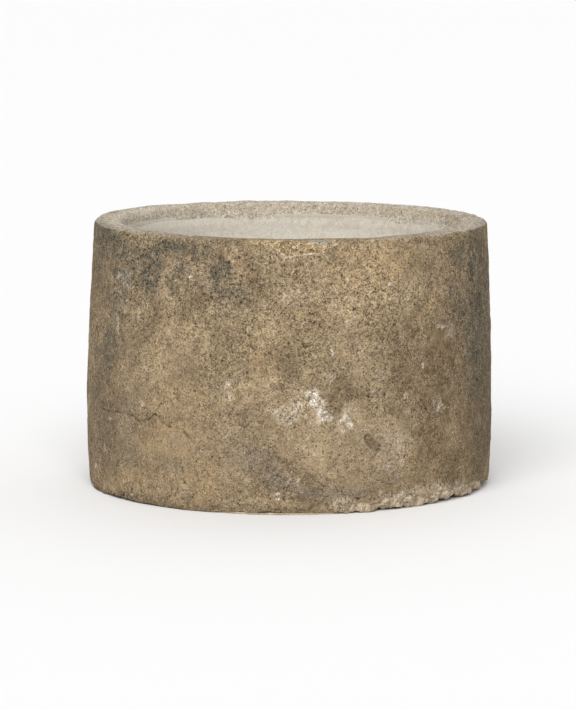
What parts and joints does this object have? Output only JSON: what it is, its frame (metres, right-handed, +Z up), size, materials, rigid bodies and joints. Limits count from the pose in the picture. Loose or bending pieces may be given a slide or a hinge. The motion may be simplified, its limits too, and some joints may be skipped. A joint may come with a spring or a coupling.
{
  "type": "stone trough",
  "caption": "Round limestone trough hollowed from one block, with a deep coated basin, a worn rim with a mortar patch and slightly bellied sides.",
  "frame": {"origin": "middle of the footprint's box, on the ground", "axes": "+Z up towards the mouth; -Y is the front, the side with the rim patch"},
  "size_m": [0.9026, 0.9027, 0.581],
  "materials": {
    "limestone": "weathered brown limestone, grainy, with dark stains and pale spots",
    "basin_render": "pale sandy lime coat, matt and fine-grained",
    "repair_mortar": "coarse ochre mortar, matt",
    "bedding_mortar": "thin light brown mortar, matt",
    "crust_mortar": "pale crumbling crust, rough"
  },
  "bodies": {
    "root": {"trough_block": "limestone", "basin_render": "basin_render", "rim_repair": "repair_mortar", "bedding_mortar": "bedding_mortar", "mortar_crust": "crust_mortar"}
  },
  "joints": []
}
